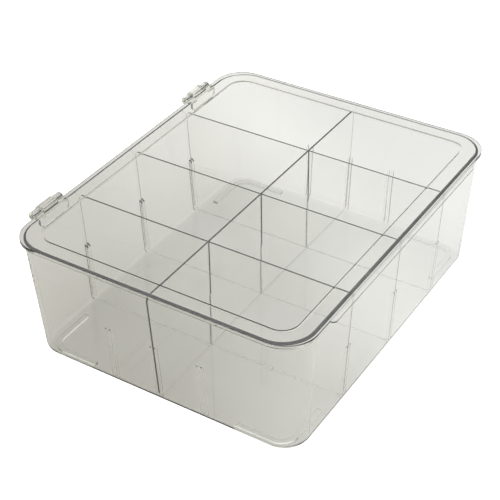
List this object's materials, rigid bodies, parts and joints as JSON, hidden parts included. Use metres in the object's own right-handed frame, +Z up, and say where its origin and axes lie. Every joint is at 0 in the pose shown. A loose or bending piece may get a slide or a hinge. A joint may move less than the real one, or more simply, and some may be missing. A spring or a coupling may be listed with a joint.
{
  "type": "card storage box",
  "caption": "Clear hinged storage box for trading cards, with a recessed stacking lid, a front finger lip and lift-out dividers.",
  "frame": {"origin": "centre of the bounding box at the level of the feet", "axes": "+X along the long side, +Y from the finger lip at the front towards the hinges, +Z up"},
  "size_m": [0.3008, 0.2552, 0.1057],
  "materials": {
    "clear_tray": "clear moulded polystyrene with a faint warm grey-green tint",
    "clear_lid": "clear moulded polystyrene with a faint warm grey-green tint",
    "clear_divider": "clear moulded polystyrene with a faint warm grey-green tint",
    "pin_steel": "drawn steel wire"
  },
  "bodies": {
    "tray": {"tray": "clear_tray", "hinge_pin_left": "pin_steel", "hinge_pin_right": "pin_steel"},
    "lid": {"lid": "clear_lid"},
    "long_divider": {"long_divider": "clear_divider"},
    "cross_divider_left": {"cross_divider_left": "clear_divider"},
    "cross_divider_middle": {"cross_divider_middle": "clear_divider"},
    "cross_divider_right": {"cross_divider_right": "clear_divider"}
  },
  "joints": [
    {"name": "lid_hinge", "type": "hinge", "parent": "tray", "child": "lid", "pos_m": [0, 0.12345, 0.1015], "axis": [-1, 0, 0], "range_deg": [0, 110]},
    {"name": "long_divider_lift", "type": "slide", "parent": "tray", "child": "long_divider", "axis": [0, 0, 1], "range_m": [0, 0.001]},
    {"name": "cross_divider_left_lift", "type": "slide", "parent": "tray", "child": "cross_divider_left", "axis": [0, 0, 1], "range_m": [0, 0.001]},
    {"name": "cross_divider_middle_lift", "type": "slide", "parent": "tray", "child": "cross_divider_middle", "axis": [0, 0, 1], "range_m": [0, 0.001]},
    {"name": "cross_divider_right_lift", "type": "slide", "parent": "tray", "child": "cross_divider_right", "axis": [0, 0, 1], "range_m": [0, 0.001]}
  ]
}
